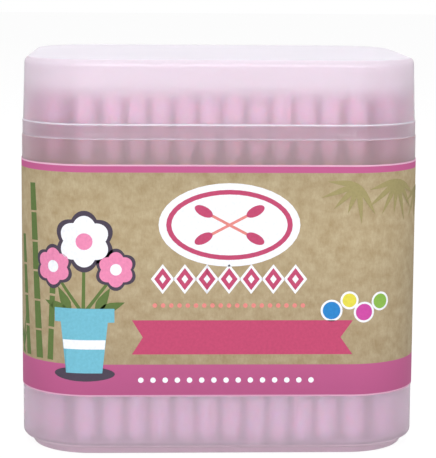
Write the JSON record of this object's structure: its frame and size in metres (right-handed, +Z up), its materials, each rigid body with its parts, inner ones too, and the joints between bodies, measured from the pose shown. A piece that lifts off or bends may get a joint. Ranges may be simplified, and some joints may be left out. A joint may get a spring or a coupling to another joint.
{
  "type": "cotton swab tub",
  "caption": "Upright frosted plastic tub with rounded corners, a lift-off lid, a wrap-round paper label and rows of cotton swabs standing in it.",
  "frame": {"origin": "middle of the base, on the surface it stands on", "axes": "+Z up, -Y to the front of the tub, +X to its right side"},
  "size_m": [0.0866, 0.0676, 0.085],
  "materials": {
    "tub_plastic": "frosted polypropylene, see-through",
    "lid_plastic": "frosted polypropylene, see-through",
    "label_paper": "kraft paper print with pink bands",
    "bamboo": "plain bamboo",
    "cotton": "pale pink cotton wool, wound"
  },
  "bodies": {
    "tub": {"tub": "tub_plastic", "label": "label_paper", "sticks_row_01": "bamboo", "upper_tips_row_01": "cotton", "lower_tips_row_01": "cotton", "sticks_row_02": "bamboo", "upper_tips_row_02": "cotton", "lower_tips_row_02": "cotton", "sticks_row_03": "bamboo", "upper_tips_row_03": "cotton", "lower_tips_row_03": "cotton", "sticks_row_04": "bamboo", "upper_tips_row_04": "cotton", "lower_tips_row_04": "cotton", "sticks_row_05": "bamboo", "upper_tips_row_05": "cotton", "lower_tips_row_05": "cotton", "sticks_row_06": "bamboo", "upper_tips_row_06": "cotton", "lower_tips_row_06": "cotton", "sticks_row_07": "bamboo", "upper_tips_row_07": "cotton", "lower_tips_row_07": "cotton", "sticks_row_08": "bamboo", "upper_tips_row_08": "cotton", "lower_tips_row_08": "cotton", "sticks_row_09": "bamboo", "upper_tips_row_09": "cotton", "lower_tips_row_09": "cotton", "sticks_row_10": "bamboo", "upper_tips_row_10": "cotton", "lower_tips_row_10": "cotton", "sticks_row_11": "bamboo", "upper_tips_row_11": "cotton", "lower_tips_row_11": "cotton", "sticks_row_12": "bamboo", "upper_tips_row_12": "cotton", "lower_tips_row_12": "cotton", "sticks_row_13": "bamboo", "upper_tips_row_13": "cotton", "lower_tips_row_13": "cotton", "sticks_row_14": "bamboo", "upper_tips_row_14": "cotton", "lower_tips_row_14": "cotton"},
    "lid": {"lid": "lid_plastic"}
  },
  "joints": [
    {"name": "lid_lift", "type": "slide", "parent": "tub", "child": "lid", "axis": [0, 0, 1], "range_m": [0, 0.03]}
  ]
}
